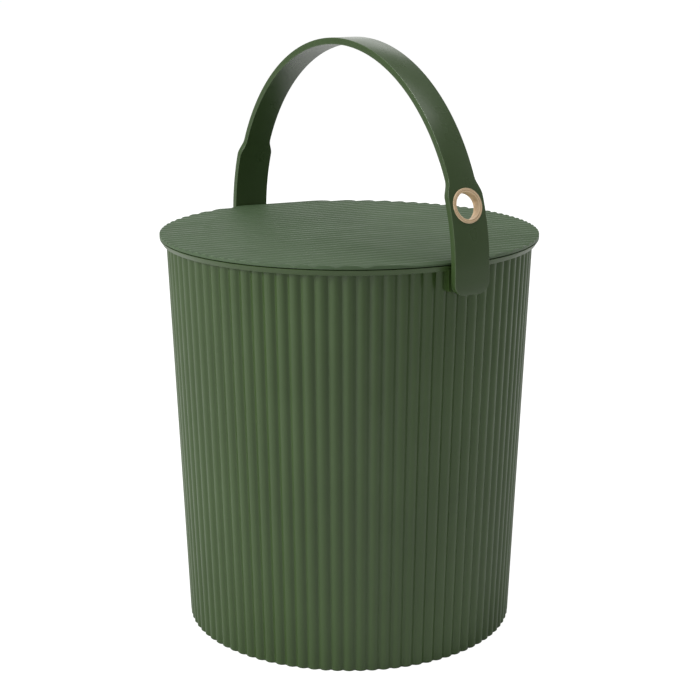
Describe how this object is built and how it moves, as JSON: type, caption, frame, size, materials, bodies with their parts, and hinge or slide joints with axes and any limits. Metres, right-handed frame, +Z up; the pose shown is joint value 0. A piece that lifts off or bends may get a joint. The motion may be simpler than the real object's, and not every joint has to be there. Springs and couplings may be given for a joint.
{
  "type": "lidded bucket",
  "caption": "Round plastic bucket with an upright ribbed wall, a flat ribbed lift-off lid and a wide strap handle that swings down to either side.",
  "frame": {"origin": "middle of the foot, on the surface that the bucket stands on", "axes": "+Z up through the lid, X along the line that the handle turns about, with the eyelet on the +X side"},
  "size_m": [0.3486, 0.33, 0.5158],
  "materials": {
    "green_plastic": "satin moulded",
    "lid_plastic": "satin moulded",
    "handle_plastic": "satin moulded",
    "wood_tone_plastic": "satin, pale wood colour"
  },
  "bodies": {
    "bucket": {"bucket_body": "green_plastic"},
    "lid": {"lid": "lid_plastic"},
    "handle": {"handle": "handle_plastic", "eyelet_front": "wood_tone_plastic", "eyelet_back_ring": "wood_tone_plastic"}
  },
  "joints": [
    {"name": "handle_swing", "type": "hinge", "parent": "bucket", "child": "handle", "pos_m": [0, 0, 0.334], "axis": [1, 0, 0], "range_deg": [-112, 112]},
    {"name": "lid_lift", "type": "slide", "parent": "bucket", "child": "lid", "axis": [0, 0, 1], "range_m": [0, 0.024]}
  ]
}
